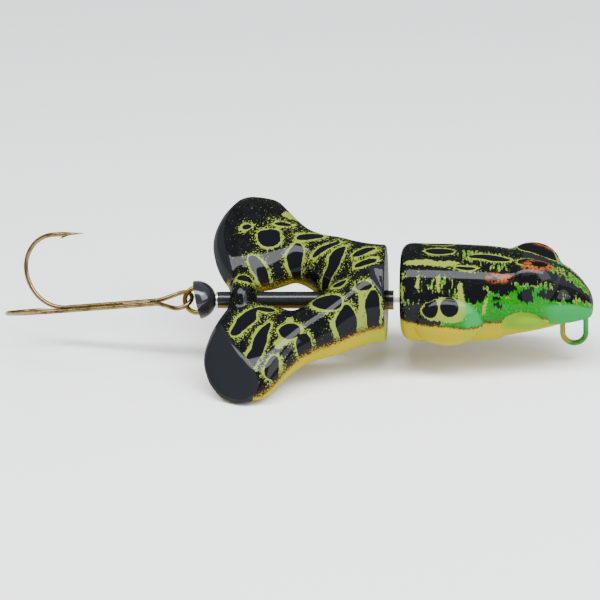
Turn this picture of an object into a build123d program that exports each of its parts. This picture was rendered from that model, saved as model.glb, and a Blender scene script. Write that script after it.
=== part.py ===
from build123d import *
import os
from math import cos, radians, sin

# Topwater frog lure: a hollow head on a through-wire, a two-legged tail that spins on the wire
# behind it, a cup bead, and a double hook that swings from the ring at the wire's end.
# Millimetres, +X toward the snout, +Z up. Every piece is laid out about the wire's axis (X axis,
# X = 0 at the front end of the tail's sleeve) and is moved at the end, so that the origin is the
# centre of the line tie's loop.

# Wires
WIRE_R = 0.5            # through-wire
TIE_WIRE_R = 0.55
HOOK_WIRE_R = 0.46
RUN_CLEARANCE = 0.06    # radial play of what turns on the through-wire
FACE_GAP = 0.05         # axial play between turning pieces

# Smooth forms are stations along the wire: x, centre across, half width, half height, centre height
HEAD_STATIONS = [
    (1.5, 0.0, 9.6, 9.4, 1.7),
    (8.0, 0.0, 10.0, 9.8, 1.6),
    (16.0, 0.0, 10.0, 9.7, 1.5),
    (23.0, 0.0, 9.6, 9.1, 1.4),
    (29.0, 0.0, 8.9, 7.8, 1.1),
    (34.0, 0.0, 7.4, 5.9, 0.5),
    (37.5, 0.0, 5.3, 3.9, -0.4),
    (39.7, 0.0, 2.4, 1.7, -1.1),
]
HEAD_WALL = 1.2
HEAD_REAR_ROUND = 1.3
EYE_CENTRE = (27.4, 4.6, 5.3)
EYE_R = 4.9
LEG_LOBE_CENTRE = (11.0, 7.6, -1.4)
LEG_LOBE_HALF = (7.1, 3.8, 4.6)

# Line tie under the chin
TIE_FRONT_X = 38.2
TIE_REAR_X = 33.6
TIE_LOOP_Z = -6.9       # centre of the loop's round bottom
TIE_TOP_Z = -1.6
TIE_FOOT = 1.6          # each leg's bent end inside the chin

# What holds the wires and the weight inside the head
ANCHOR_X = 11.5
ANCHOR_LOOP_R = 1.7
POST_R = 1.1
BULKHEAD_X = 6.5
RIB_X = (15.5, 20.5)
WEB = 1.2
BALLAST_R = 2.3
BALLAST_LENGTH = 8.0
BALLAST_CENTRE = (18.0, 0.0, -5.0)

# Tail, one leg in stations from the hip to the toes. The other leg mirrors it.
LEG_STATIONS = [
    (-1.4, 0.4, 9.4, 9.0, 2.2),
    (-5.0, 1.8, 8.7, 8.6, 2.0),
    (-8.0, 3.7, 7.9, 7.9, 1.7),
    (-11.0, 5.5, 7.5, 6.9, 1.4),
    (-14.5, 7.7, 6.8, 5.9, 1.1),
    (-17.5, 9.9, 6.5, 5.2, 1.0),
    (-20.0, 11.6, 7.4, 4.8, 0.9),
    (-23.0, 12.9, 9.8, 4.5, 0.8),
    (-26.5, 13.5, 11.3, 4.2, 0.8),
    (-30.0, 13.8, 11.4, 4.0, 0.8),
    (-33.0, 14.0, 10.2, 3.6, 0.7),
    (-35.3, 14.1, 7.6, 2.9, 0.6),
    (-36.7, 14.1, 4.2, 1.9, 0.5),
    (-37.2, 14.1, 2.2, 1.3, 0.5),
]
TAIL_WALL = 1.2
TAIL_SPINE = 2.7        # half width of the solid rib that carries the sleeve
TAIL_ROLL = 30.0        # where the tail stands at rest, about the wire
HEEL_X = -30.2          # bridge that joins the two feet round the sleeve
HEEL_HALF_LENGTH = 3.1
HEEL_HALF_HEIGHT = 4.8
HEEL_HALF_WIDTH = 6.5
VANE_CREST = ((-35.8, -7.6), (-25.4, -22.7))   # plan line where a foot's sloping face starts
VANE_CREST_Z = 3.0
VANE_SLOPE = 35.0

SLEEVE_R = 1.7
SLEEVE_REAR_X = -35.2
COLLAR_R = 1.95
COLLAR_REAR_X = -1.4

# Behind the tail
WASHER_THICKNESS = 0.28
CUP_R = 3.9
CUP_CAVITY_R = 3.2
CUP_TILT = 12.0         # the cup's mouth leans on the wire
RING_X = SLEEVE_REAR_X - 4.25
RING_R = 2.5            # to the wire's centre line

# Double hook, laid out along -X from the ring's rear wire before it is turned
EYE_GAP = 1.45          # ring wire's centre to the hook eye's front wire's centre
HOOK_EYE_R = 2.4        # to the wire's centre line
EYE_FLARE = 24.0        # how steeply the eye closes into the shanks
NECK_R = 3.5
STRAND_GAP = 0.06
SHANK_END = -26.6
HOOK_SPREADS = {1: 36.0, -1: 48.0}  # how far each bend turns away from the eye
BEND_R_FIRST = 8.2
BEND_R_SECOND = 6.8
BEND_ARCS = (90, 92)
POINT_RUN = 2.4
POINT_LENGTH = 4.4
POINT_TIP_R = 0.05
BARB_LENGTH = 1.5
BARB_RISE = 0.45
BARB_HALF_THICKNESS = 0.18
BRAZE_LENGTH = 6.0
BRAZE_X = -10.6
BRAZE_HALF = (0.5, 0.42)
RING_ROLL = -22.0
HOOK_ROLL = 42.0
HOOK_YAW = -18.0
HOOK_PITCH = -4.0

HUGE = 200.0


def section(x, across, half_width, half_height, height):
    """An ellipse across the wire at x."""
    return Plane(origin=(x, 0, 0), x_dir=(0, 1, 0), z_dir=(1, 0, 0)) * Pos(across, height) * Ellipse(
        half_width, half_height
    )


def rod_along_x(radius, x_low, x_high):
    """A round bar on the wire's axis."""
    return Pos((x_low + x_high) / 2, 0, 0) * Rot(0, 90, 0) * Cylinder(radius, x_high - x_low)


def bent_wire(path, start, radius):
    """A round wire along a path of straight runs and arcs that leaves the plane start."""
    return sweep(start * Circle(radius), path=Wire(path.edges()))


def half_space(direction):
    """A block that fills one side of the plane through the wire's axis."""
    offset = Vector(*direction) * (HUGE / 2)
    return Pos(*offset) * Box(HUGE, HUGE, HUGE)


def squashed_ball(centre, half_sizes):
    """An ellipsoid."""
    ball = scale(Sphere(1), by=half_sizes)
    return Pos(*centre) * ball


def stations_to_rings(stations, inset, side):
    """Cross-sections of a smooth form, drawn in by inset, with its first and last moved inward."""
    last = len(stations) - 1
    direction = 1 if stations[last][0] > stations[0][0] else -1
    rings = []
    for index, (x, across, half_width, half_height, height) in enumerate(stations):
        if index == 0:
            x += direction * inset
        if index == last:
            x -= direction * inset
        rings.append(section(x, side * across, half_width - inset, half_height - inset, height))
    return rings


def head_body(inset):
    """The head's smooth form, without eyes and front legs, drawn in by inset all over."""
    return loft(stations_to_rings(HEAD_STATIONS, inset, 1))


def line_tie():
    """U of wire under the chin, with a bent foot on each leg."""
    middle_x = (TIE_FRONT_X + TIE_REAR_X) / 2
    loop_r = (TIE_FRONT_X - TIE_REAR_X) / 2
    bottom = ThreePointArc(
        (TIE_REAR_X, 0, TIE_LOOP_Z),
        (middle_x, 0, TIE_LOOP_Z - loop_r),
        (TIE_FRONT_X, 0, TIE_LOOP_Z),
    )
    leg_out = Line((TIE_FRONT_X, 0, TIE_LOOP_Z), (TIE_FRONT_X, 0, TIE_TOP_Z))
    rear_leg = Line((TIE_REAR_X, 0, TIE_TOP_Z), (TIE_REAR_X, 0, TIE_LOOP_Z))
    start = Plane(origin=rear_leg @ 0, z_dir=(0, 0, -1))
    tie = bent_wire(rear_leg + bottom + leg_out, start, TIE_WIRE_R)
    foot = Pos(TIE_REAR_X - TIE_FOOT / 2, 0, TIE_TOP_Z) * Rot(0, 90, 0) * Cylinder(TIE_WIRE_R, TIE_FOOT)
    knuckle = Pos(TIE_REAR_X, 0, TIE_TOP_Z) * Sphere(TIE_WIRE_R)
    return tie + foot + knuckle


def through_wire():
    """Straight wire with a closed ring at the rear and an anchor loop inside the head."""
    shaft = rod_along_x(WIRE_R, RING_X + RING_R, ANCHOR_X - ANCHOR_LOOP_R)
    ring = Pos(RING_X, 0, 0) * Rot(RING_ROLL, 0, 0) * Rot(90, 0, 0) * Torus(RING_R, WIRE_R)
    anchor = Pos(ANCHOR_X, 0, 0) * Rot(90, 0, 0) * Torus(ANCHOR_LOOP_R, WIRE_R)
    return shaft + ring + anchor


def head_ballast():
    """Cylindrical weight that keeps the belly down while the tail spins."""
    return Pos(*BALLAST_CENTRE) * Rot(0, 90, 0) * Cylinder(BALLAST_R, BALLAST_LENGTH)


def head_inner_features():
    """Webs, post and chin block that hold the wires and the weight, before they are trimmed."""
    bulkhead = Pos(BULKHEAD_X, 0, 0) * Box(WEB, HUGE, HUGE)
    post = Pos(ANCHOR_X, 0, 0) * Rot(90, 0, 0) * Cylinder(POST_R, HUGE)
    chin = Pos(TIE_REAR_X + 1.6, 0, TIE_TOP_Z - HUGE / 2 + 1.2) * Box(9.0, HUGE, HUGE)
    features = bulkhead + post + chin
    for x in RIB_X:
        rib_top = BALLAST_CENTRE[2] + 1.0
        features += Pos(x, 0, rib_top - HUGE / 2) * Box(WEB, HUGE, HUGE)
    return features


def head_shells():
    """The head's two moulded halves, left (+Y) and right (-Y)."""
    outer = head_body(0)
    rear_edge = outer.edges().sort_by(Axis.X)[0]
    outer = fillet(rear_edge, HEAD_REAR_ROUND)
    cavity = head_body(HEAD_WALL)
    features = head_inner_features() & outer
    shell = outer - cavity + features
    for side in (1, -1):
        eye_x, eye_y, eye_z = EYE_CENTRE
        lobe_x, lobe_y, lobe_z = LEG_LOBE_CENTRE
        eye = Pos(eye_x, side * eye_y, eye_z) * Sphere(EYE_R)
        lobe = squashed_ball((lobe_x, side * lobe_y, lobe_z), LEG_LOBE_HALF)
        shell += (eye + lobe) - cavity
    shell = shell - line_tie() - through_wire() - head_ballast()
    return shell & half_space((0, 1, 0)), shell & half_space((0, -1, 0))


def vane_cutter(inset):
    """Everything above the sloping face of the foot on the -Y side."""
    (x_0, y_0), (x_1, y_1) = VANE_CREST
    along = Vector(x_1 - x_0, y_1 - y_0, 0).normalized()
    outward = Vector(along.Y, -along.X, 0)
    slope = radians(VANE_SLOPE)
    normal = outward * sin(slope) + Vector(0, 0, cos(slope))
    origin = Vector((x_0 + x_1) / 2, (y_0 + y_1) / 2, VANE_CREST_Z) - normal * inset
    face = Plane(origin=origin, x_dir=along, z_dir=normal)
    return face * Box(HUGE, HUGE, HUGE, align=(Align.CENTER, Align.CENTER, Align.MIN))


def leg_body(side, inset):
    """One leg from the wire's axis outward, drawn in by inset all over.

    The -Y foot slopes on top and the +Y foot slopes underneath, so that water turns the pair.
    """
    rings = stations_to_rings(LEG_STATIONS, inset, -1)
    leg = loft(rings) & half_space((0, -1, 0))
    cutter = vane_cutter(inset)
    if side > 0:
        leg = mirror(leg, Plane.XZ)
        cutter = Rot(180, 0, 0) * cutter
    return leg - cutter


def heel_bridge():
    """The thick bar that joins the feet round the sleeve."""
    profile = Plane(origin=(HEEL_X, 0, 0), x_dir=(1, 0, 0), z_dir=(0, -1, 0)) * Ellipse(
        HEEL_HALF_HEIGHT, HEEL_HALF_LENGTH, rotation=90
    )
    return extrude(profile, HEEL_HALF_WIDTH, both=True)


def tail_shells():
    """The tail's two moulded halves, split at the legs' plane, before the roll."""
    outer = leg_body(-1, 0) + leg_body(1, 0) + heel_bridge()
    spine = Box(HUGE, 2 * TAIL_SPINE, HUGE)
    bore = rod_along_x(SLEEVE_R, -HUGE, HUGE)
    shell = outer - bore
    for side in (-1, 1):
        shell -= leg_body(side, TAIL_WALL) - spine
    return shell - half_space((0, 0, -1)), shell - half_space((0, 0, 1))


def tail_sleeve():
    """Tube that the tail turns on, with a collar in front."""
    tube = rod_along_x(SLEEVE_R, SLEEVE_REAR_X, COLLAR_REAR_X)
    collar = rod_along_x(COLLAR_R, COLLAR_REAR_X, 0)
    return tube + collar - rod_along_x(WIRE_R + RUN_CLEARANCE, -HUGE, HUGE)


def rear_washer():
    """Thin thrust washer between the sleeve and the cup bead."""
    front = SLEEVE_REAR_X - FACE_GAP
    disc = rod_along_x(SLEEVE_R, front - WASHER_THICKNESS, front)
    return disc - rod_along_x(WIRE_R + RUN_CLEARANCE, -HUGE, HUGE)


def cup_bead():
    """Half of a hollow ball over the front of the ring, its mouth leaning on the wire."""
    ball = Pos(RING_X, 0, 0) * Sphere(CUP_R)
    hollow = Pos(RING_X, 0, 0) * Sphere(CUP_CAVITY_R)
    mouth = Pos(RING_X, 0, 0) * Rot(RING_ROLL, 0, 0) * Rot(0, -CUP_TILT, 0) * Pos(-HUGE / 2, 0, 0)
    rear = mouth * Box(HUGE, HUGE, HUGE)
    bore = rod_along_x(WIRE_R + RUN_CLEARANCE, RING_X, RING_X + 2 * CUP_R)
    return ball - hollow - rear - bore


def hook_strand(side):
    """One hook of the pair: half of the eye, shank, bend, point and barb."""
    strand_y = HOOK_WIRE_R + STRAND_GAP / 2
    flare = radians(EYE_FLARE)
    neck_run = (HOOK_EYE_R * cos(flare) - strand_y - NECK_R * (1 - cos(flare))) / sin(flare)
    eye = JernArc((EYE_GAP, 0), (0, side), HOOK_EYE_R, side * (90 + EYE_FLARE))
    neck = Line(eye @ 1, (eye @ 1) + (eye % 1) * neck_run)
    neck_bend = JernArc(neck @ 1, neck % 1, NECK_R, -side * EYE_FLARE)
    shank_end = Vector(SHANK_END, side * strand_y, 0)
    shank = Line(neck_bend @ 1, shank_end)
    spread = radians(HOOK_SPREADS[side])
    out = Vector(0, side * sin(spread), cos(spread))
    bend_plane = Plane(origin=shank_end, x_dir=(-1, 0, 0), z_dir=Vector(-1, 0, 0).cross(out))
    first = JernArc((0, 0), (1, 0), BEND_R_FIRST, BEND_ARCS[0])
    second = JernArc(first @ 1, first % 1, BEND_R_SECOND, BEND_ARCS[1])
    run = Line(second @ 1, (second @ 1) + (second % 1) * POINT_RUN)
    path = eye + neck + neck_bend + shank + bend_plane * first + bend_plane * second + bend_plane * run
    strand = bent_wire(path, Plane(origin=(EYE_GAP, 0, 0), z_dir=(0, side, 0)), HOOK_WIRE_R)
    return strand + bend_plane * hook_point(run @ 1, run % 1)


def hook_point(base, heading):
    """Tapered point with a barb under it, in the plane of the bend."""
    along = Plane(origin=base, x_dir=heading, z_dir=(0, 0, 1))
    taper = Rot(0, 90, 0) * Cone(
        HOOK_WIRE_R, POINT_TIP_R, POINT_LENGTH, align=(Align.CENTER, Align.CENTER, Align.MIN)
    )
    outline = Polyline(
        (-0.2, HOOK_WIRE_R / 2),
        (-0.2 - BARB_LENGTH / 2, HOOK_WIRE_R + BARB_RISE),
        (BARB_LENGTH, HOOK_WIRE_R / 2),
        close=True,
    )
    barb = extrude(make_face(outline), BARB_HALF_THICKNESS, both=True)
    return along * (taper + barb)


def place_hook(piece):
    """Turn a piece laid out along -X to where the hook hangs from the ring."""
    pivot = Pos(RING_X - RING_R, 0, 0) * Rot(RING_ROLL, 0, 0)
    return pivot * Rot(0, 0, HOOK_YAW) * Rot(0, HOOK_PITCH, 0) * Rot(HOOK_ROLL, 0, 0) * piece


def hook_wire():
    """Both hooks and their eye, bent from one wire."""
    return hook_strand(1) + hook_strand(-1)


def hook_braze(hook):
    """Brazing metal that fills the groove between the two shanks."""
    bar = Pos(BRAZE_X, 0, 0) * scale(Rot(0, 90, 0) * Cylinder(1, BRAZE_LENGTH), by=(1, *BRAZE_HALF))
    return bar - hook


def write_parts():
    """Build every piece and write it in the lure's own frame."""
    os.makedirs("parts", exist_ok=True)
    to_row = Pos(-(TIE_FRONT_X + TIE_REAR_X) / 2, 0, -TIE_LOOP_Z)
    roll = Rot(TAIL_ROLL, 0, 0)
    head_left, head_right = head_shells()
    tail_top, tail_bottom = tail_shells()
    hook = hook_wire()
    pieces = {
        "head_shell_left": head_left,
        "head_shell_right": head_right,
        "line_tie": line_tie(),
        "head_ballast": head_ballast(),
        "through_wire": through_wire(),
        "tail_shell_top": roll * tail_top,
        "tail_shell_bottom": roll * tail_bottom,
        "tail_sleeve": tail_sleeve(),
        "rear_washer": rear_washer(),
        "cup_bead": cup_bead(),
        "hook_wire": place_hook(hook),
        "hook_braze": place_hook(hook_braze(hook)),
    }
    for name, piece in pieces.items():
        export_step(to_row * piece, f"parts/{name}.step")


write_parts()
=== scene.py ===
import math

import bmesh
import bpy
import numpy as np
from mathutils import Matrix, Vector


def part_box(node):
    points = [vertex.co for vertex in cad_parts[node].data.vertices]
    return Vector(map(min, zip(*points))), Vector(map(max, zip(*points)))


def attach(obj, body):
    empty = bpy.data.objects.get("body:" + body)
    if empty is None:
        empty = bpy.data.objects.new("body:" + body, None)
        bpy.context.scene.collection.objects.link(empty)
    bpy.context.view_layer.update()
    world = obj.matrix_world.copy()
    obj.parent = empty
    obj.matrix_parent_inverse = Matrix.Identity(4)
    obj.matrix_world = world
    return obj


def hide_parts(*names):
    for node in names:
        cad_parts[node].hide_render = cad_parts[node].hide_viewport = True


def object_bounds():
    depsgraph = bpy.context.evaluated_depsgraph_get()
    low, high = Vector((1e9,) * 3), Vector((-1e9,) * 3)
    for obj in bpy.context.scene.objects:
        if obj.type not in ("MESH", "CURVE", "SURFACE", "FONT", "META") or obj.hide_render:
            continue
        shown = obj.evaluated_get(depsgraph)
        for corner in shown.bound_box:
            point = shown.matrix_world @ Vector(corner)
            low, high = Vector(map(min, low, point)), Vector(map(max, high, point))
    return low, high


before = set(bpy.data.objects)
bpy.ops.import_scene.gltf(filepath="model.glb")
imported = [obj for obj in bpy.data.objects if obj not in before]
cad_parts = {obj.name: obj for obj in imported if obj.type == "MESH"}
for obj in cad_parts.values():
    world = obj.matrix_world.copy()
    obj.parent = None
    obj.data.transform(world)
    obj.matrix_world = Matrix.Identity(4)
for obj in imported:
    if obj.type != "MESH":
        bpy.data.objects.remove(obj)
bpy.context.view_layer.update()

# The lure is laid out in millimetres about the wire's axis, X = 0 at the front of the sleeve.
MM = 0.001
sleeve_low, sleeve_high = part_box("tail_sleeve")
WIRE_ORIGIN = np.array([
    sleeve_high.x,
    (sleeve_low.y + sleeve_high.y) / 2,
    (sleeve_low.z + sleeve_high.z) / 2,
])
SLEEVE_R = 1.7

# The through-wire is brassy behind this
LOOP_X = -38.5

# Moulded shells: grid spacing, wall thickness, and the angle past which an edge looks sharp
CELL = 0.36
WALL = 1.2
SHARP_ANGLE = math.radians(50)

# How points settle onto a surface, and the tolerance of a cut
SETTLE_PASSES = 4
SETTLE_STEP = 0.02
LEAST_SLOPE = 0.2
CUT_TOLERANCE = 1e-5

# Head, along x: half width, height of the widest line, rise above it, drop below it
HEAD_X = (0.8, 2.4, 7.0, 14.0, 21.0, 25.0, 30.0, 33.0, 35.2, 37.2, 38.4, 39.3, 40.0)
HEAD_WIDTH = (9.2, 9.8, 10.0, 10.0, 9.7, 9.3, 8.6, 7.8, 6.9, 5.5, 4.3, 3.0, 1.2)
HEAD_MIDDLE = (1.7, 1.65, 1.5, 1.4, 1.4, 1.4, 1.3, 1.1, 0.8, 0.1, -0.5, -1.0, -1.4)
HEAD_RISE = (9.2, 9.7, 9.9, 9.8, 9.3, 8.6, 7.4, 6.3, 5.3, 4.1, 3.2, 2.2, 0.8)
HEAD_DROP = (8.7, 9.2, 9.6, 9.5, 8.9, 8.2, 7.1, 6.1, 5.4, 4.2, 3.3, 2.2, 0.8)
HEAD_REAR_X = 1.5
HEAD_REAR_ROUND = 2.2
HEAD_FRONT_X = 39.7
HEAD_FRONT_ROUND = 0.9

# Box in which the head's surface is looked for
HEAD_BOX = ((0.0, -13.1, -11.3), (41.0, 13.1, 13.3))

# Forms on each side of the head, as centre and half sizes, and how softly each joins the head
EYE_BUMP = ((27.6, 4.7, 5.6), (5.6, 4.0, 4.7))
LEG_LOBE = ((11.0, 8.1, -0.8), (7.1, 3.9, 5.4))
THROAT_BULGE = ((26.0, 5.6, -1.0), (5.6, 3.2, 3.0))
EYE_BLEND = 1.1
LOBE_BLEND = 0.2
THROAT_BLEND = 0.25

# Lip line along x, the step under it, where the step sets in, and how soft it is across the line
LIP_X = (20.5, 21.8, 22.6, 24.0, 26.4, 28.2, 29.6, 30.8, 33.0, 37.0, 40.0)
LIP_Z = (-2.6, -1.0, 0.1, 0.8, 1.0, 0.45, -0.8, -2.0, -2.6, -2.8, -2.9)
LIP_STEP = 0.5
LIP_START = (20.8, 22.5)
LIP_SOFTNESS = (-0.12, 0.35)
THROAT_BELOW_LIP = 0.1

# Tail, along x: centre across, half width, half height, height of the centre
LEG_X = (-37.6, -33.0, -30.0, -27.0, -24.0, -22.0, -20.0, -18.0, -14.5, -11.0, -8.0, -5.0, -1.0)
LEG_ACROSS = (13.7, 13.7, 13.7, 13.6, 13.3, 12.5, 11.6, 10.2, 7.7, 5.5, 3.7, 1.8, 0.4)
LEG_WIDTH = (12.1, 12.1, 12.0, 11.7, 10.7, 9.0, 7.2, 6.35, 6.8, 7.7, 7.9, 8.6, 9.4)
LEG_HEIGHT = (3.6, 3.9, 4.1, 4.2, 4.4, 4.6, 4.9, 5.2, 5.9, 7.0, 8.0, 8.7, 9.1)
LEG_MIDDLE = (0.7, 0.8, 0.8, 0.8, 0.8, 0.9, 1.0, 1.0, 1.1, 1.4, 1.7, 2.1, 2.3)
HIP_FACE_X = -1.4
HIP_ROUND = 0.6

# Box in which the tail's surface is looked for
TAIL_BOX = ((-38.4, -26.1, -9.1), (-1.0, 26.1, 12.3))

# Rear edge of the feet, the scale that keeps its field even, and the heel between the feet
FOOT_ACROSS = (0.0, 3.0, 5.2, 7.6, 10.6, 14.0, 18.3, 21.8, 24.0, 26.0)
FOOT_REAR = (-33.0, -33.6, -34.9, -36.0, -36.9, -37.4, -36.9, -35.3, -33.2, -29.5)
FOOT_ROUND = 1.6
FOOT_EDGE_SCALE = 0.85
HEEL = ((-30.2, 0.0, 0.0), (3.1, 6.2, 5.4))
HEEL_BLEND = 1.4

# Bevel round the rear edge of both feet, and how far it faces back and up
FOOT_BEVEL = 2.6
FOOT_BEVEL_TOP = 4.0
BEVEL_FACING = (0.78, 0.62)
BEVEL_ROUND = 0.2

# Sloping face of each foot's outer edge
VANE_CENTRE = (-14.4, -4.4)
VANE_RADIUS = 20.6
VANE_CREST_Z = 4.2
VANE_SLOPE = math.radians(35)
VANE_ROUND = 0.25

# The tail rests turned about the wire
TAIL_ROLL = math.radians(30)

# A paint distance beyond every mark, and how far and how closely the marks' outlines waver
NO_MARK = 5.0
LEG_WAVER = 0.45
LEG_WAVER_SIZE = 1.3
HEAD_WAVER = 0.3
HEAD_WAVER_SIZE = 1.1

# Paint on the legs: x, across (+ far leg), half sizes along and across, turn in degrees
LEG_SPOTS = (
    (-29.8, 14.7, 1.0, 0.8, 0), (-25.2, 12.0, 2.4, 2.2, 0), (-26.8, 4.6, 3.7, 1.3, -59),
    (-19.6, 7.0, 1.55, 3.0, 0), (-17.0, 11.5, 2.8, 0.95, 8), (-13.7, 7.6, 3.0, 0.8, 27),
    (-12.0, 3.2, 4.4, 1.3, 62), (-5.4, 4.0, 2.4, 0.7, 24), (-5.1, 1.1, 2.2, 0.8, 8),
    (-22.6, 15.2, 2.2, 0.5, -20), (-29.6, 1.5, 1.4, 1.1, 0), (-28.9, -8.9, 4.6, 1.6, 65),
    (-25.1, -5.4, 2.3, 0.9, -20), (-25.9, -15.0, 6.0, 1.3, 75), (-19.7, -12.4, 2.0, 1.7, 10),
    (-16.9, -14.9, 1.6, 2.2, 0), (-22.9, -20.0, 2.3, 1.4, 70), (-12.6, -6.4, 3.2, 1.8, -20),
    (-8.8, -10.4, 2.0, 2.5, 0), (-5.4, -4.5, 1.5, 0.8, 10), (-3.6, -7.9, 1.4, 2.9, 0),
    (-10.3, -2.3, 1.4, 0.7, 10),
)
LEG_PALE = (
    (-21.0, 18.3, 2.4, 1.3, -25), (-14.3, -7.4, 2.0, 0.7, -30), (-9.9, -12.4, 3.1, 0.8, -43),
    (-5.9, -8.4, 0.7, 3.0, 0), (-21.3, -14.8, 1.6, 1.0, 30), (-20.2, -9.4, 1.0, 0.6, 0),
    (-3.0, -1.2, 1.2, 0.5, 20),
)

# Upper edge of the legs' belly yellow: its height, and how far it rises along x on the outer side
LEG_BELLY_X = (-26.0, -18.0, -14.7, -8.0, -2.6)
LEG_BELLY_RISE = (0.0, 0.9, 1.2, 1.8, 2.3)
LEG_BELLY_HEIGHT = 1.1
LEG_OUTER_SIDE = (0.0, 4.0)
BEVEL_BELLY_Z = -1.6

# Soft edges of the legs' plain faces, and the mint and lime near the hips
VANE_EDGE = (-0.3, -0.15)
BEVEL_EDGE = (-0.3, 0.0)
BEVEL_PAINT_SLOPE = 0.4
HEEL_EDGE = (0.3, 1.5)
HIP_MINT_X = (-9.0, -2.0)
HIP_MINT_DEPTH = 1.6
HIP_MINT = 0.4
HIP_LIME_X = (-10.0, -2.0)
HIP_LIME = 0.45

# Paint on the head: x, millimetres round from the top line, half sizes, turn in degrees
HEAD_RADIUS = 10
HEAD_SPOTS = (
    (9.3, 2.0, 2.9, 1.1, 0), (19.4, 3.5, 4.1, 0.8, 2), (14.7, 6.4, 2.0, 0.4, 4),
    (28.6, 4.1, 4.0, 2.1, -6),
)
HEAD_PATCHES = (
    (3.4, 10.6, 0.9, 2.6, 0), (7.5, 12.6, 2.8, 1.0, 0), (16.9, 12.0, 1.8, 1.5, 20),
    (21.8, 10.9, 2.9, 1.0, 0), (26.6, 12.6, 1.4, 1.6, 30), (27.2, 9.3, 1.7, 0.9, 0),
    (20.5, 14.6, 1.0, 0.7, 0), (31.4, 12.2, 2.4, 0.9, 12),
)
HEAD_PALE = (
    (7.8, 5.6, 5.4, 0.7, 1), (13.7, 12.2, 0.5, 2.8, 4), (5.4, 10.8, 0.3, 2.5, 0),
    (18.4, 14.7, 0.3, 1.5, 10), (2.3, 11.0, 0.3, 3.0, 0), (9.3, 10.2, 0.25, 1.8, -8),
)
HEAD_BLUSH = ((21.4, 8.6, 2.5, 0.8, 0), (28.8, 6.1, 3.0, 1.4, -8))
PUPIL = ((29.2, 5.7, 1.6, 0.8, -8),)

# Zones of the head's ground paint: strength, where each sets in and ends along x, and where it
# sets in and ends round from the top line in degrees. BEFORE and BEYOND are off the head.
BEFORE = (-200, -199)
BEYOND = (900, 901)
GREEN_ZONES = {
    "flank": (1.0, (12.5, 19.0), BEYOND, (58, 84), BEYOND),
    "cheek": (1.0, (22.0, 26.0), (29.0, 32.0), (52, 66), BEYOND),
    "back": (0.40, (12.0, 18.0), (22.5, 24.5), (4, 14), (34, 42)),
    "brow": (0.38, (30.0, 32.0), BEYOND, (4, 14), (34, 42)),
    "snout": (0.8, (29.0, 32.0), BEYOND, (64, 80), BEYOND),
    "streaks": (0.06, BEFORE, (12.0, 14.0), (46, 54), (78, 88)),
}
MINT_ZONE = (1.0, (26.5, 34.0), BEYOND, (77, 88), BEYOND)
# The plain front top of the head has no outlines and takes the painted sheen
PLAIN_ZONE = (1.0, (25.0, 26.5), BEYOND, BEFORE, (50, 54))
GREEN_FADE = 0.3
GREEN_FADE_SIZE = 1.7

# Upper edge of the head's belly yellow, round from the top line, and where the lip takes over
HEAD_BELLY_TURN = 105
DEGREES_PER_MM = 6
SNOUT_X = 31
LIP_PAINT_START = (21.0, 22.0)
LIP_PAINT_EDGE = (-0.1, 0.1)

# Lime on the throat's bulge: how far it spreads, its soft edges, and its strength
THROAT_MARGIN = 0.6
THROAT_EDGE = (0.95, 1.15)
THROAT_LOW_Z = (-4.2, -2.4)
THROAT_LIME = 0.8

# Paint on the front leg's lobe: x, z, half sizes, turn in degrees
LOBE_PALE = ((10.4, 2.4, 5.0, 2.3, -3),)
LOBE_SPOTS = ((7.6, 2.6, 1.8, 1.9, 25), (11.6, 2.7, 1.8, 1.6, -10))

# The lobe's edge, its greens, mint and lime, and the upper edge of its belly yellow
LOBE_INNER_Y = 7.0
LOBE_MARGIN = 0.3
LOBE_GREEN_X = (9.0, 11.0)
LOBE_GREEN_Z = (0.0, 0.6)
LOBE_FRONT_X = (14.3, 15.6)
LOBE_MINT_X = (12.5, 16.0)
LOBE_MINT = 0.9
LOBE_LIME_X = (12.0, 15.0)
LOBE_LIME = 0.4
LOBE_BELLY_X = (10.0, 17.0)
LOBE_BELLY_Z = -1.0
LOBE_BELLY_DROP = 0.9
LOBE_BELLY_EDGE = 0.7


# ---- fields: negative inside, about one per millimetre ----

def track(x, knots, values):
    """A smooth curve through the values at the knots, flat beyond the ends."""
    knots = np.asarray(knots, float)
    values = np.asarray(values, float)
    slopes = np.gradient(values, knots)
    x = np.clip(x, knots[0], knots[-1])
    i = np.clip(np.searchsorted(knots, x, side="right") - 1, 0, len(knots) - 2)
    width = knots[i + 1] - knots[i]
    t = (x - knots[i]) / width
    start = (1 + 2 * t) * (1 - t) ** 2 * values[i] + t * (1 - t) ** 2 * width * slopes[i]
    end = t * t * (3 - 2 * t) * values[i + 1] + t * t * (t - 1) * width * slopes[i + 1]
    return start + end


def smooth_step(value, low, high):
    """Rise from 0 at low to 1 at high."""
    t = np.clip((value - low) / (high - low), 0, 1)
    return t * t * (3 - 2 * t)


def smooth_fall(value, low, high):
    """Fall from 1 at low to 0 at high."""
    return smooth_step(-value, -high, -low)


def smooth_union(a, b, radius):
    """What is inside either, with the joint rounded."""
    mix = np.clip(0.5 + 0.5 * (b - a) / radius, 0, 1)
    return b + (a - b) * mix - radius * mix * (1 - mix)


def smooth_cut(a, b, radius):
    """What is inside both."""
    return -smooth_union(-a, -b, radius)


def ellipsoid(x, y, z, centre, half_sizes):
    """Distance outside an ellipsoid, negative inside."""
    px, py, pz = ((value - c) / h for value, c, h in zip((x, y, z), centre, half_sizes))
    reach = np.sqrt(px * px + py * py + pz * pz) + 1e-9
    gx, gy, gz = (p / h for p, h in zip((px, py, pz), half_sizes))
    slope = np.sqrt(gx * gx + gy * gy + gz * gz) + 1e-9
    return reach * (reach - 1) / slope


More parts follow.
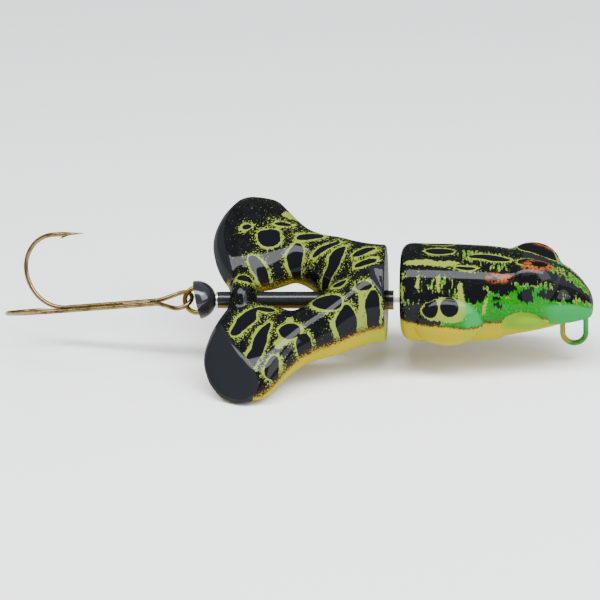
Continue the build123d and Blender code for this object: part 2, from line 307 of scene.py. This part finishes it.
def head_field(x, y, z):
    """The head: a body with eyes, front legs, a lip step and a bulging throat."""
    side = np.abs(y)
    width = track(x, HEAD_X, HEAD_WIDTH)
    middle = track(x, HEAD_X, HEAD_MIDDLE)
    height = np.where(z > middle, track(x, HEAD_X, HEAD_RISE), track(x, HEAD_X, HEAD_DROP))
    shape = ellipsoid(0 * x, y, z - middle, (0, 0, 0), (1, width, height))
    lip = track(x, LIP_X, LIP_Z)
    shape = shape + LIP_STEP * smooth_step(lip - z, *LIP_SOFTNESS) * smooth_step(x, *LIP_START)
    eye = ellipsoid(x, side, z, *EYE_BUMP)
    lobe = ellipsoid(x, side, z, *LEG_LOBE)
    throat = ellipsoid(x, side, z, *THROAT_BULGE)
    throat = np.maximum(throat, z - lip + THROAT_BELOW_LIP)
    shape = smooth_union(shape, eye, EYE_BLEND)
    shape = smooth_union(shape, lobe, LOBE_BLEND)
    shape = smooth_union(shape, throat, THROAT_BLEND)
    shape = smooth_cut(shape, HEAD_REAR_X - x, HEAD_REAR_ROUND)
    return smooth_cut(shape, x - HEAD_FRONT_X, HEAD_FRONT_ROUND)


def leg_field(x, across, height):
    """One leg, from hip to foot."""
    centre = track(x, LEG_X, LEG_ACROSS)
    width = track(x, LEG_X, LEG_WIDTH)
    thick = track(x, LEG_X, LEG_HEIGHT)
    middle = track(x, LEG_X, LEG_MIDDLE)
    return ellipsoid(0 * x, across - centre, height - middle, (0, 0, 0), (1, width, thick))


def vane_field(x, y, z):
    """Height above the sloping face of the -Y foot, part of a cone round VANE_CENTRE."""
    beyond = np.hypot(x - VANE_CENTRE[0], y - VANE_CENTRE[1]) - VANE_RADIUS
    return beyond * math.sin(VANE_SLOPE) + (z - VANE_CREST_Z) * math.cos(VANE_SLOPE)


def tail_field(x, y, z):
    """Both legs with bevelled feet, joined by the heel, round the sleeve."""
    rear = track(np.abs(y), FOOT_ACROSS, FOOT_REAR)
    near = smooth_cut(leg_field(x, -y, z), vane_field(x, y, z), VANE_ROUND)
    far = smooth_cut(leg_field(x, y, z), vane_field(x, -y, -z), VANE_ROUND)
    facing_back, facing_up = BEVEL_FACING
    bevel = (rear + FOOT_BEVEL - x) * facing_back + (np.abs(z) - FOOT_BEVEL_TOP) * facing_up
    feet = smooth_cut(np.minimum(near, far), bevel, BEVEL_ROUND)
    shape = smooth_union(feet, ellipsoid(x, y, z, *HEEL), HEEL_BLEND)
    shape = smooth_cut(shape, (rear - x) * FOOT_EDGE_SCALE, FOOT_ROUND)
    shape = smooth_cut(shape, x - HIP_FACE_X, HIP_ROUND)
    bore = SLEEVE_R - np.sqrt(y * y + z * z)
    return np.maximum(shape, bore)


# ---- surfaces from fields ----

def edge_crossings(values, axis):
    """Grid edges along an axis that cross zero: first corner, crossing point, and if inside is first."""
    first = [slice(None)] * 3
    second = [slice(None)] * 3
    first[axis] = slice(0, -1)
    second[axis] = slice(1, None)
    a = values[tuple(first)]
    b = values[tuple(second)]
    index = np.argwhere((a < 0) != (b < 0))
    a = a[tuple(index.T)]
    b = b[tuple(index.T)]
    point = index.astype(float)
    point[:, axis] += a / (a - b)
    return index, point, a < 0


def surface_net(field, low, high):
    """Quads where the field crosses zero on a grid of cubes."""
    axes = [np.arange(a, b + CELL, CELL) for a, b in zip(low, high)]
    values = field(*np.meshgrid(*axes, indexing="ij"))
    cells = np.array(values.shape) - 1
    total = np.zeros((*cells, 3))
    count = np.zeros(cells)
    crossings = []
    for axis in range(3):
        index, point, outward = edge_crossings(values, axis)
        around = []
        for shift_u, shift_v in ((0, 0), (1, 0), (1, 1), (0, 1)):
            cell = index.copy()
            cell[:, (axis + 1) % 3] -= shift_u
            cell[:, (axis + 2) % 3] -= shift_v
            np.add.at(total, tuple(cell.T), point)
            np.add.at(count, tuple(cell.T), 1)
            around.append(cell)
        crossings.append((outward, around))
    used = count > 0
    number = np.full(count.shape, -1)
    number[used] = np.arange(used.sum())
    points = total[used] / count[used][:, None] * CELL + np.array([axis[0] for axis in axes])
    quads = []
    for outward, around in crossings:
        ring = np.stack([number[tuple(cell.T)] for cell in around], 1)
        quads.append(np.where(outward[:, None], ring, ring[:, ::-1]))
    return points, np.concatenate(quads)


def settle(points, field):
    """Move each point onto the surface."""
    for _ in range(SETTLE_PASSES):
        value = field(*points.T)
        slope = np.empty_like(points)
        for axis in range(3):
            ahead = points.copy()
            behind = points.copy()
            ahead[:, axis] += SETTLE_STEP
            behind[:, axis] -= SETTLE_STEP
            slope[:, axis] = (field(*ahead.T) - field(*behind.T)) / (2 * SETTLE_STEP)
        steepness = np.maximum((slope * slope).sum(1), LEAST_SLOPE)
        move = slope * (value / steepness)[:, None]
        points = points - np.clip(move, -CELL / 2, CELL / 2)
    return points


def hollow_form(field, low, high):
    """Outer skin and, one wall inside it, an inner skin that faces inward."""
    outer_points, outer_quads = surface_net(field, low, high)
    outer_points = settle(outer_points, field)
    inner_points, inner_quads = surface_net(lambda x, y, z: field(x, y, z) + WALL, low, high)
    points = np.concatenate((outer_points, inner_points))
    quads = np.concatenate((outer_quads, inner_quads[:, ::-1] + len(outer_points)))
    return points, quads


def half_shell(name, points, quads, normal):
    """The part of the form behind the plane through the wire's axis, closed along the plane."""
    bm = bmesh.new()
    mesh = bpy.data.meshes.new(name)
    mesh.from_pydata(points.tolist(), [], quads.tolist())
    bm.from_mesh(mesh)
    bmesh.ops.bisect_plane(
        bm,
        geom=bm.verts[:] + bm.edges[:] + bm.faces[:],
        dist=CUT_TOLERANCE,
        plane_co=(0, 0, 0),
        plane_no=normal,
        clear_outer=True,
    )
    rim = [edge for edge in bm.edges if edge.is_boundary]
    bmesh.ops.triangle_fill(bm, use_beauty=True, edges=rim, normal=normal)
    bm.to_mesh(mesh)
    bm.free()
    mesh.shade_smooth()
    mesh.set_sharp_from_angle(angle=SHARP_ANGLE)
    piece = bpy.data.objects.new(name, mesh)
    bpy.context.scene.collection.objects.link(piece)
    return piece


def vertex_array(piece):
    """The piece's points, one row each."""
    flat = np.empty(len(piece.data.vertices) * 3)
    piece.data.vertices.foreach_get("co", flat)
    return flat.reshape(-1, 3)


def add_value(piece, name, values):
    """A paint value at each point of the piece."""
    attribute = piece.data.attributes.new(name, "FLOAT", "POINT")
    attribute.data.foreach_set("value", np.asarray(values, np.float32))


def to_row(piece, roll=0.0):
    """Turn the finished piece about the wire and move it from the wire's millimetres to the row frame."""
    place = Matrix.Translation(Vector(WIRE_ORIGIN)) @ Matrix.Rotation(roll, 4, "X") @ Matrix.Scale(MM, 4)
    piece.data.transform(place)


# ---- paint masks, in millimetres or from 0 to 1 ----

def turned_oval(along, across, oval):
    """Distance outside a turned oval, negative inside."""
    centre_along, centre_across, half_along, half_across, turn = oval
    a = along - centre_along
    b = across - centre_across
    c = math.cos(math.radians(turn))
    d = math.sin(math.radians(turn))
    return ellipsoid(a * c + b * d, b * c - a * d, 0 * a, (0, 0, 0), (half_along, half_across, 1))


def nearest(along, across, ovals):
    """Distance outside the nearest of the ovals."""
    return np.min([turned_oval(along, across, oval) for oval in ovals], axis=0)


def wobble(x, y, z, size):
    """Slow smooth variation between -1 and 1."""
    a = np.sin(x / size + 1.7 * np.sin(y / size) + 0.4)
    b = np.sin(y / size * 1.3 + 1.3 * np.sin(z / size * 1.1) + 2.1)
    c = np.sin(z / size * 1.2 + 1.5 * np.sin(x / size * 0.9) + 4.0)
    return (a + b + c) / 3


def leg_plain(x, y, z):
    """The sloping face and the rear bevel, which have no pattern and take the painted sheen, each from 0
    to 1.
    """
    rear = track(np.abs(y), FOOT_ACROSS, FOOT_REAR)
    on_vane = smooth_step(vane_field(x, y, z), *VANE_EDGE) * (y < 0)
    behind = rear + FOOT_BEVEL - x + (FOOT_BEVEL_TOP - z) * BEVEL_PAINT_SLOPE
    on_bevel = smooth_step(behind, *BEVEL_EDGE)
    off_heel = smooth_step(ellipsoid(x, y, z, *HEEL), *HEEL_EDGE)
    return on_vane, on_bevel * off_heel


def paint_legs(piece):
    """Paint values of the legs."""
    x, y, z = vertex_array(piece).T
    shift = LEG_WAVER * wobble(x, y, z, LEG_WAVER_SIZE)
    spot = nearest(x + shift, y - shift, LEG_SPOTS)
    pale = nearest(x - shift, y + shift, LEG_PALE)
    outward = smooth_step(np.abs(y) - track(x, LEG_X, LEG_ACROSS), *LEG_OUTER_SIDE)
    edge = LEG_BELLY_HEIGHT + outward * track(x, LEG_BELLY_X, LEG_BELLY_RISE)
    on_vane, on_bevel = leg_plain(x, y, z)
    plain = np.maximum(on_vane, on_bevel)

    # There is no yellow where this is positive, as on the whole sloping face and the upper bevel
    vane_belly = 8 * on_vane - 4
    bevel_belly = (z - BEVEL_BELLY_Z) * on_bevel - 6 * (1 - on_bevel)
    belly = np.maximum(0.6 * (z - edge), np.maximum(vane_belly, bevel_belly))
    near_belly = smooth_step(edge + HIP_MINT_DEPTH - z, 0.0, HIP_MINT_DEPTH)
    add_value(piece, "spot", np.where(plain > 0.5, NO_MARK, spot))
    add_value(piece, "pale", np.where(plain > 0.5, NO_MARK, pale))
    add_value(piece, "belly", belly)
    add_value(piece, "plain", plain)
    add_value(piece, "mint", HIP_MINT * smooth_step(x, *HIP_MINT_X) * near_belly)
    add_value(piece, "tone", HIP_LIME * smooth_step(x, *HIP_LIME_X))
    for name in ("green", "blush"):
        add_value(piece, name, 0 * x)
    for name in ("pupil", "patch"):
        add_value(piece, name, 0 * x + NO_MARK)


def zone(x, turn, strength, x_start, x_end, turn_start, turn_end):
    """A stretch of ground paint with soft edges."""
    along = smooth_step(x, *x_start) * smooth_fall(x, *x_end)
    return strength * along * smooth_step(turn, *turn_start) * smooth_fall(turn, *turn_end)


def throat_tone(x, z, below_lip):
    """Lime on the throat's bulge."""
    (throat_x, _, throat_z), (throat_long, _, throat_high) = THROAT_BULGE
    along = (x - throat_x) / (throat_long + THROAT_MARGIN)
    up = (z - throat_z) / (throat_high + THROAT_MARGIN)
    inside = smooth_fall(np.hypot(along, up), *THROAT_EDGE)
    return THROAT_LIME * inside * below_lip * smooth_step(z, *THROAT_LOW_Z)


def head_paint(x, z, turn, around, shift, fade):
    """Paint values of the head without the front leg's lobe."""
    green = np.max([zone(x, turn, *row) for row in GREEN_ZONES.values()], axis=0)
    lip = track(x, LIP_X, LIP_Z)
    below_lip = smooth_step(lip - z, *LIP_PAINT_EDGE) * smooth_step(x, *LIP_PAINT_START)
    belly = np.where(x > SNOUT_X, 2.0, (HEAD_BELLY_TURN - turn) / DEGREES_PER_MM)
    return {
        "spot": nearest(x + shift, around - shift, HEAD_SPOTS),
        "patch": nearest(x + 2 * shift, around - 2 * shift, HEAD_PATCHES),
        "pale": nearest(x - shift, around + shift, HEAD_PALE),
        "belly": np.where(below_lip > 0.5, -1.0, belly),
        "green": np.clip(green + GREEN_FADE * fade * (green > 0.02), 0, 1),
        "mint": zone(x, turn, *MINT_ZONE),
        "tone": throat_tone(x, z, below_lip),
    }


def lobe_paint(x, z, shift):
    """Paint values of the front leg's lobe, which has its own pattern."""
    low_green = smooth_step(x, *LOBE_GREEN_X) * smooth_fall(z, *LOBE_GREEN_Z)
    front_green = smooth_step(x, *LOBE_FRONT_X)
    belly_edge = LOBE_BELLY_Z - LOBE_BELLY_DROP * smooth_step(x, *LOBE_BELLY_X)
    return {
        "spot": nearest(x + shift, z - shift, LOBE_SPOTS),
        "patch": 0 * x + NO_MARK,
        "pale": nearest(x - shift, z + shift, LOBE_PALE),
        "belly": (z - belly_edge) / LOBE_BELLY_EDGE,
        "green": np.maximum(low_green, front_green),
        "mint": LOBE_MINT * smooth_step(x, *LOBE_MINT_X),
        "tone": LOBE_LIME * smooth_step(x, *LOBE_LIME_X),
    }


def paint_head(piece):
    """Paint values of the head and the front legs on it."""
    x, y, z = vertex_array(piece).T
    side = np.abs(y)
    turn = np.degrees(np.arctan2(side, z - track(x, HEAD_X, HEAD_MIDDLE)))
    around = np.radians(turn) * HEAD_RADIUS
    shift = HEAD_WAVER * wobble(x, y, z, HEAD_WAVER_SIZE)
    fade = wobble(x, y, z, GREEN_FADE_SIZE)
    head_only = head_paint(x, z, turn, around, shift, fade)
    lobe_only = lobe_paint(x, z, shift)
    on_lobe = (ellipsoid(x, side, z, *LEG_LOBE) < LOBE_MARGIN) & (side > LOBE_INNER_Y)
    values = {name: np.where(on_lobe, lobe_only[name], head_only[name]) for name in head_only}
    values["plain"] = zone(x, turn, *PLAIN_ZONE) * smooth_step(values["spot"], 0.5, 0.8)
    values["spot"] = 1.9 * values["spot"]
    values["blush"] = smooth_fall(nearest(x + shift, around + shift, HEAD_BLUSH), -0.3, 0.6)
    values["pupil"] = nearest(x, around, PUPIL)
    for name, value in values.items():
        add_value(piece, name, value)


def make_head():
    """The painted halves of the head."""
    points, quads = hollow_form(head_field, *HEAD_BOX)
    halves = []
    for name, direction in (("frog_head_left", -1), ("frog_head_right", 1)):
        half = half_shell(name, points, quads, (0, direction, 0))
        paint_head(half)
        to_row(half)
        halves.append(half)
    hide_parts("head_shell_left")
    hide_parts("head_shell_right")
    for half in halves:
        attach(half, "head")
    return halves


def make_tail():
    """The painted halves of the legs."""
    points, quads = hollow_form(tail_field, *TAIL_BOX)
    halves = []
    for name, direction in (("frog_legs_top", -1), ("frog_legs_bottom", 1)):
        half = half_shell(name, points, quads, (0, 0, direction))
        paint_legs(half)
        to_row(half, TAIL_ROLL)
        halves.append(half)
    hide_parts("tail_shell_top")
    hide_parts("tail_shell_bottom")
    for half in halves:
        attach(half, "tail")
    return halves


# ---- materials ----

COAT_ROUGHNESS = 0.05


class Recipe:
    """A node material in the making."""

    def __init__(self, name):
        """A new material with the object's own coordinates at hand."""
        self.material = bpy.data.materials.new(name)
        self.material.use_nodes = True
        self.tree = self.material.node_tree
        self.shader = self.tree.nodes["Principled BSDF"]
        self.place = self.tree.nodes.new("ShaderNodeTexCoord").outputs["Object"]

    def link(self, value, socket):
        """Set a socket to a number or colour, or link another node's output to it."""
        if isinstance(value, (int, float)):
            socket.default_value = value
        elif isinstance(value, tuple):
            socket.default_value = (*value, 1)
        else:
            self.tree.links.new(value, socket)

    def attribute(self, name):
        """A paint value kept at the piece's points."""
        node = self.tree.nodes.new("ShaderNodeAttribute")
        node.attribute_name = name
        return node.outputs["Fac"]

    def stretched(self, stretch):
        """Place on the object, scaled along each axis."""
        node = self.tree.nodes.new("ShaderNodeMapping")
        node.inputs["Scale"].default_value = stretch
        self.link(self.place, node.inputs["Vector"])
        return node.outputs["Vector"]

    def noise(self, grain_mm, detail, stretch=(1, 1, 1)):
        """Noise from 0 to 1 whose features are about grain_mm across."""
        node = self.tree.nodes.new("ShaderNodeTexNoise")
        node.inputs["Scale"].default_value = 1 / (grain_mm * MM)
        node.inputs["Detail"].default_value = detail
        self.link(self.stretched(stretch), node.inputs["Vector"])
        return node.outputs["Fac"]

    def math(self, operation, a, b):
        node = self.tree.nodes.new("ShaderNodeMath")
        node.operation = operation
        self.link(a, node.inputs[0])
        self.link(b, node.inputs[1])
        return node.outputs[0]

    def step(self, value, low, high):
        """0 below low, 1 above high."""
        node = self.tree.nodes.new("ShaderNodeMapRange")
        node.interpolation_type = "SMOOTHSTEP"
        self.link(value, node.inputs["Value"])
        node.inputs["From Min"].default_value = low
        node.inputs["From Max"].default_value = high
        return node.outputs["Result"]

    def fall(self, value, low, high):
        """1 below low, 0 above high."""
        return self.math("SUBTRACT", 1.0, self.step(value, low, high))

    def plus(self, a, b):
        return self.math("ADD", a, b)

    def times(self, a, b):
        return self.math("MULTIPLY", a, b)

    def sway(self, noise, amount):
        """The noise, made to vary by this much about zero."""
        return self.times(self.math("SUBTRACT", noise, 0.5), amount)

    def along(self, axis):
        """Place along one axis of the row frame, in metres."""
        node = self.tree.nodes.new("ShaderNodeSeparateXYZ")
        self.link(self.place, node.inputs[0])
        return node.outputs[axis]

    def mix(self, amount, a, b):
        """Colour a, turning into colour b as the amount goes from 0 to 1."""
        node = self.tree.nodes.new("ShaderNodeMix")
        node.data_type = "RGBA"
        self.link(amount, node.inputs["Factor"])
        self.link(a, node.inputs["A"])
        self.link(b, node.inputs["B"])
        return node.outputs["Result"]

    def bump(self, height, distance_mm, strength):
        node = self.tree.nodes.new("ShaderNodeBump")
        node.inputs["Distance"].default_value = distance_mm * MM
        node.inputs["Strength"].default_value = strength
        self.link(height, node.inputs["Height"])
        self.link(node.outputs["Normal"], self.shader.inputs["Normal"])

    def finish(self, color, roughness, metallic=0.0, coat=0.0, coat_ior=1.5, specular=0.5):
        """The finished material, under a clear coat where coat is above 0."""
        self.link(color, self.shader.inputs["Base Color"])
        self.link(roughness, self.shader.inputs["Roughness"])
        self.shader.inputs["Metallic"].default_value = metallic
        self.shader.inputs["Specular IOR Level"].default_value = specular
        self.shader.inputs["Coat Weight"].default_value = coat
        self.shader.inputs["Coat IOR"].default_value = coat_ior
        self.shader.inputs["Coat Roughness"].default_value = COAT_ROUGHNESS
        return self.material


# Paint colours
BLACK = (0.003, 0.003, 0.004)
SOOT = (0.005, 0.006, 0.006)
# Painted sheen: a lighter blue-grey black on the plain faces, in place of a soft reflection
SHEEN_GREY = (0.011, 0.012, 0.014)
SPOT_BLACK = (0.004, 0.004, 0.006)
DARK_BROWN = (0.025, 0.010, 0.003)
PALE = (0.17, 0.22, 0.028)
LEAF_GREEN = (0.002, 0.12, 0.002)
BRIGHT_LEAF = (0.004, 0.19, 0.005)
MINT = (0.008, 0.21, 0.042)
YELLOW = (0.32, 0.26, 0.0)
LIME = (0.12, 0.26, 0.004)
ORANGE = (0.20, 0.085, 0.0)
AMBER = (0.20, 0.11, 0.001)
PEACH = (0.22, 0.055, 0.010)
TIE_YELLOW = (0.20, 0.19, 0.002)
TIE_LIME = (0.08, 0.19, 0.015)

# The through-wire's loop
BRASS = (0.20, 0.135, 0.022)

# Colours of the other pieces, each as the pair that its noise mixes
SLEEVE_BLACK = (BLACK, (0.014, 0.014, 0.016))
BEAD_BLACK = ((0.006, 0.006, 0.007), (0.018, 0.018, 0.022))
SPRING_WIRE = ((0.42, 0.39, 0.28), (0.24, 0.20, 0.12))
WASHER_STEEL = ((0.66, 0.66, 0.66), (0.45, 0.45, 0.46))
BRONZE = ((0.23, 0.165, 0.065), (0.10, 0.066, 0.024))
BRAZE_METAL = ((0.30, 0.19, 0.09), (0.50, 0.36, 0.20))
LEAD = ((0.16, 0.16, 0.18), (0.30, 0.30, 0.33))
FLOOR_WHITE = ((0.93, 0.93, 0.93), (0.96, 0.96, 0.96))


def ground_color(r, fine, broad, streak):
    """Dark ground with painted sheen on the plain faces, turning leaf green with a torn edge, under pale
    specks.
    """
    green = r.attribute("green")
    plain = r.attribute("plain")
    patterned = r.fall(plain, 0.2, 0.8)
    color = r.mix(r.step(broad, 0.35, 0.7), BLACK, SOOT)
    # The plain faces get a lighter blue-grey black: painted sheen
    color = r.mix(r.step(plain, 0.2, 0.8), color, SHEEN_GREY)
    torn = r.plus(green, r.sway(streak, 2.4))
    leaf = r.mix(r.step(fine, 0.4, 0.75), LEAF_GREEN, BRIGHT_LEAF)
    some_green = r.step(green, 0.02, 0.10)
    color = r.mix(r.times(r.step(torn, 0.40, 0.50), some_green), color, leaf)
    torn_rim = r.times(r.step(torn, 0.30, 0.38), r.fall(torn, 0.52, 0.70))
    torn_rim = r.times(torn_rim, some_green)
    color = r.mix(r.times(torn_rim, r.step(fine, 0.44, 0.52)), color, PALE)
    blotch = r.times(r.step(broad, 0.60, 0.64), r.fall(green, 0.80, 0.95))
    color = r.mix(r.times(blotch, patterned), color, BLACK)

    # The specks thin out away from the spots
    near_spot = r.fall(r.attribute("spot"), 0.3, 2.0)
    speck_level = r.plus(fine, r.times(near_spot, 0.17))
    specks = r.times(r.step(speck_level, 0.69, 0.72), patterned)
    specks = r.times(specks, r.fall(green, 0.5, 0.9))
    return r.mix(specks, color, PALE)


def marked_color(r, color, ragged, broad, streak):
    """Pale bands, black spots with a fringed pale outline, and torn dark patches without one."""
    pale_edge = r.plus(r.attribute("pale"), r.sway(ragged, 1.5))
    color = r.mix(r.fall(pale_edge, 0.0, 0.12), color, PALE)
    spot = r.attribute("spot")
    width = r.plus(0.36, r.sway(ragged, 1.8))
    width = r.plus(width, r.sway(broad, 1.2))
    outline = r.fall(r.math("SUBTRACT", spot, width), 0.0, 0.10)
    outline = r.times(outline, r.fall(r.attribute("plain"), 0.3, 0.9))
    color = r.mix(outline, color, PALE)
    inside_edge = r.plus(spot, r.sway(ragged, 0.35))
    color = r.mix(r.fall(inside_edge, -0.05, 0.05), color, SPOT_BLACK)
    patch_edge = r.plus(r.attribute("patch"), r.sway(streak, 3.2))
    return r.mix(r.fall(patch_edge, 0.0, 0.2), color, BLACK)


def eye_color(r, color, ragged):
    """Orange round the eyes, and black pupils."""
    blush = r.times(r.attribute("blush"), r.step(r.noise(0.6, 3), 0.40, 0.54))
    color = r.mix(blush, color, PEACH)
    pupil_edge = r.plus(r.attribute("pupil"), r.sway(ragged, 0.4))
    return r.mix(r.fall(pupil_edge, 0.0, 0.1), color, BLACK)


def belly_color(r, color, fine):
    """Belly yellow, sprayed from below through brown specks."""
    belly = r.attribute("belly")
    depth = r.plus(belly, r.sway(fine, 2.4))
    color = r.mix(r.fall(depth, 0.2, 0.9), color, DARK_BROWN)
    gold = r.mix(r.step(r.noise(0.5, 3), 0.30, 0.55), ORANGE, YELLOW)
    color = r.mix(r.fall(depth, -0.3, 0.3), color, gold)
    under = r.mix(r.step(r.attribute("tone"), 0.1, 0.9), YELLOW, LIME)
    return r.mix(r.fall(belly, -0.7, 0.1), color, under)


def frog_paint():
    """Sprayed and masked frog paint under a clear coat."""
    r = Recipe("frog_paint")
    ragged = r.noise(0.55, 3)
    fine = r.noise(0.30, 2)
    broad = r.noise(2.4, 2)
    streak = r.noise(0.8, 3, (1.6, 0.45, 0.45))
    color = ground_color(r, fine, broad, streak)
    color = marked_color(r, color, ragged, broad, streak)
    color = eye_color(r, color, ragged)
    color = r.mix(r.step(r.attribute("mint"), 0.15, 0.95), color, MINT)
    color = belly_color(r, color, fine)
    r.bump(r.noise(3.0, 1), 0.03, 0.5)
    return r.finish(color, 0.35, coat=0.12, coat_ior=1.8, specular=0.0)


def sleeve_paint():
    """Black tube with an overspray of belly yellow below."""
    r = Recipe("sleeve_paint")
    height = r.math("SUBTRACT", r.along("Z"), float(WIRE_ORIGIN[2]) - 0.55 * MM)
    height = r.plus(height, r.sway(r.noise(0.4, 3), 0.5 * MM))
    color = r.mix(r.noise(1.5, 2), *SLEEVE_BLACK)
    color = r.mix(r.fall(height, -0.1 * MM, 0.15 * MM), color, AMBER)
    r.bump(r.noise(0.9, 2, (0.2, 1, 1)), 0.01, 0.4)
    return r.finish(color, 0.25, coat=0.3, specular=0.2)


def tie_paint():
    """Wire with the chin's mint in front and the belly's yellow behind."""
    r = Recipe("tie_paint")
    forward = r.plus(r.along("X"), r.times(r.noise(0.8, 2), 1.6 * MM))
    front = r.mix(r.step(r.along("Z"), -1.0 * MM, 2.6 * MM), LEAF_GREEN, MINT)
    color = r.mix(r.step(forward, -1.2 * MM, 0.6 * MM), TIE_YELLOW, front)
    color = r.mix(r.times(r.step(r.noise(0.5, 2), 0.55, 0.62), 0.5), color, TIE_LIME)
    r.bump(r.noise(0.5, 2), 0.02, 0.6)
    return r.finish(color, 0.28, coat=0.25, specular=0.1)


def drawn_wire(name, colors, roughness, brassy_behind=-1.0):
    """Metal wire with faint drawing lines and tarnish, brassy behind a place along the row."""
    r = Recipe(name)
    lines = r.noise(0.16, 2, (0.06, 1, 1))
    color = r.mix(r.step(r.noise(1.8, 4), 0.40, 0.68), *colors)
    color = r.mix(r.fall(r.along("X"), brassy_behind - 1 * MM, brassy_behind), color, BRASS)
    r.bump(lines, 0.008, 0.5)
    return r.finish(color, r.plus(roughness, r.times(lines, 0.16)), metallic=1.0)


def black_bead():
    """Glossy black plastic with faint moulding swirls."""
    r = Recipe("black_bead")
    color = r.mix(r.noise(1.2, 3), *BEAD_BLACK)
    rough = r.plus(0.10, r.times(r.noise(0.6, 3), 0.14))
    r.bump(r.noise(1.4, 2), 0.05, 0.5)
    return r.finish(color, rough, coat=0.4, specular=0.35)


def braze():
    """Lumpy brazing metal."""
    r = Recipe("braze")
    color = r.mix(r.noise(0.5, 3), *BRAZE_METAL)
    rough = r.plus(0.35, r.times(r.noise(0.4, 2), 0.3))
    r.bump(r.noise(0.45, 3), 0.12, 1.0)
    return r.finish(color, rough, metallic=1.0)


def cast_lead():
    """Dull grey casting."""
    r = Recipe("cast_lead")
    color = r.mix(r.noise(1.0, 4), *LEAD)
    r.bump(r.noise(0.8, 4), 0.06, 0.8)
    return r.finish(color, 0.6, metallic=1.0)


def floor_white():
    """Matt white paper."""
    r = Recipe("floor_white")
    color = r.mix(r.noise(40, 2), *FLOOR_WHITE)
    return r.finish(color, 0.75)


def dress(node, material):
    """Give a carried-over piece its finished material."""
    for slot in bpy.data.objects[node].material_slots:
        slot.material = material


def dress_hardware():
    """Finish the pieces that the CAD shapes well enough."""
    dress("tail_sleeve", sleeve_paint())
    dress("line_tie", tie_paint())
    loop = float(WIRE_ORIGIN[0]) + LOOP_X * MM
    dress("through_wire", drawn_wire("spring_wire", SPRING_WIRE, 0.20, loop))
    dress("rear_washer", drawn_wire("stamped_washer", WASHER_STEEL, 0.18))
    dress("hook_wire", drawn_wire("bronzed_wire", BRONZE, 0.20))
    dress("hook_braze", braze())
    dress("cup_bead", black_bead())
    dress("head_ballast", cast_lead())


# ---- camera and studio ----

# Sizes here are in metres. The camera looks at a place along the wire and sees this width there.
CAMERA_AZIMUTH = math.radians(5)
CAMERA_ELEVATION = math.radians(22)
CAMERA_DISTANCE = 0.75
CAMERA_TARGET_X = -0.0188
VIEW_WIDTH = 0.12
SENSOR_WIDTH = 36
FLOOR_HALF = 3
FLOOR_GAP = 0.0005

# Light from all round, and lamps: name, place from the lure's middle, width and height, watts
WORLD_STRENGTH = 0.50
LAMP_TARGET_X = -0.018
LAMP_COLOR = (0.94, 0.96, 1.0)
LAMPS = (
    ("overhead", (-0.02, -0.20, 0.50), (0.9, 0.17), 9),
    ("right_window", (0.48, -0.32, 0.42), (0.5, 0.5), 5),
)


def make_camera():
    """The camera, with the wire level in the picture."""
    back = Vector((
        math.sin(CAMERA_AZIMUTH) * math.cos(CAMERA_ELEVATION),
        -math.cos(CAMERA_AZIMUTH) * math.cos(CAMERA_ELEVATION),
        math.sin(CAMERA_ELEVATION),
    ))
    up = back.cross(Vector((1, 0, 0))).normalized()
    right = up.cross(back)
    target = Vector(WIRE_ORIGIN) + Vector((CAMERA_TARGET_X, 0, 0))
    camera = bpy.data.objects.new("camera", bpy.data.cameras.new("camera"))
    bpy.context.scene.collection.objects.link(camera)
    turn = Matrix((right, up, back)).transposed().to_4x4()
    camera.matrix_world = Matrix.Translation(target + back * CAMERA_DISTANCE) @ turn
    camera.data.sensor_width = SENSOR_WIDTH
    camera.data.lens = SENSOR_WIDTH * CAMERA_DISTANCE / VIEW_WIDTH
    camera.data.clip_start = 0.005
    camera.data.clip_end = 10
    bpy.context.scene.camera = camera


def make_world():
    """Even white light from all round."""
    world = bpy.data.worlds.new("studio")
    world.use_nodes = True
    background = world.node_tree.nodes["Background"]
    background.inputs["Color"].default_value = (1, 1, 1, 1)
    background.inputs["Strength"].default_value = WORLD_STRENGTH
    bpy.context.scene.world = world


def make_floor():
    """A pale floor just below the lure."""
    low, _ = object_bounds()
    corners = [(x * FLOOR_HALF, y * FLOOR_HALF, 0) for x, y in ((-1, -1), (1, -1), (1, 1), (-1, 1))]
    mesh = bpy.data.meshes.new("floor")
    mesh.from_pydata(corners, [], [(0, 1, 2, 3)])
    mesh.materials.append(floor_white())
    floor = bpy.data.objects.new("floor", mesh)
    bpy.context.scene.collection.objects.link(floor)
    floor.location = (0, 0, low.z - FLOOR_GAP)


def make_lamp(name, place, size, watts):
    """A rectangle of light that faces the lure."""
    light = bpy.data.lights.new(name, "AREA")
    light.shape = "RECTANGLE"
    light.size, light.size_y = size
    light.energy = watts
    light.color = LAMP_COLOR
    lamp = bpy.data.objects.new(name, light)
    bpy.context.scene.collection.objects.link(lamp)
    middle = Vector(WIRE_ORIGIN) + Vector((LAMP_TARGET_X, 0, 0))
    lamp.location = middle + Vector(place)
    lamp.rotation_euler = (middle - lamp.location).to_track_quat("-Z", "Y").to_euler()


head = make_head()
tail = make_tail()
paint = frog_paint()
for piece in head + tail:
    piece.data.materials.append(paint)
dress_hardware()
make_camera()
make_world()
make_floor()
for lamp in LAMPS:
    make_lamp(*lamp)
